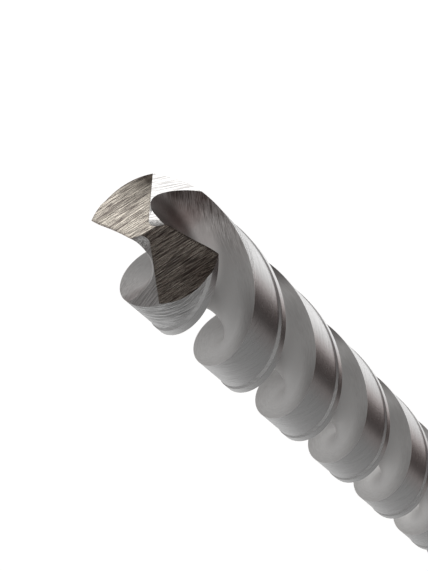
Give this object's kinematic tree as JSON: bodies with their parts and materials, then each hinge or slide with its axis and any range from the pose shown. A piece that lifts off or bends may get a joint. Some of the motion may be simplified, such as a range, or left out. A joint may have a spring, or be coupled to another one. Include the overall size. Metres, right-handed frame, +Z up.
{
  "type": "extra long twist drill",
  "caption": "Long straight-shank twist drill with two wide right-hand flutes, narrow margins and a split four-facet point.",
  "frame": {"origin": "centre of the shank's end face, on the drill's axis", "axes": "+Z up the drill's axis from the shank to the point; the two cutting lips lie along X at the point"},
  "size_m": [0.013, 0.013, 0.295],
  "materials": {
    "ground_steel": "ground bright high speed steel, fine grinding lines"
  },
  "bodies": {
    "root": {"twist_drill": "ground_steel"}
  },
  "joints": []
}
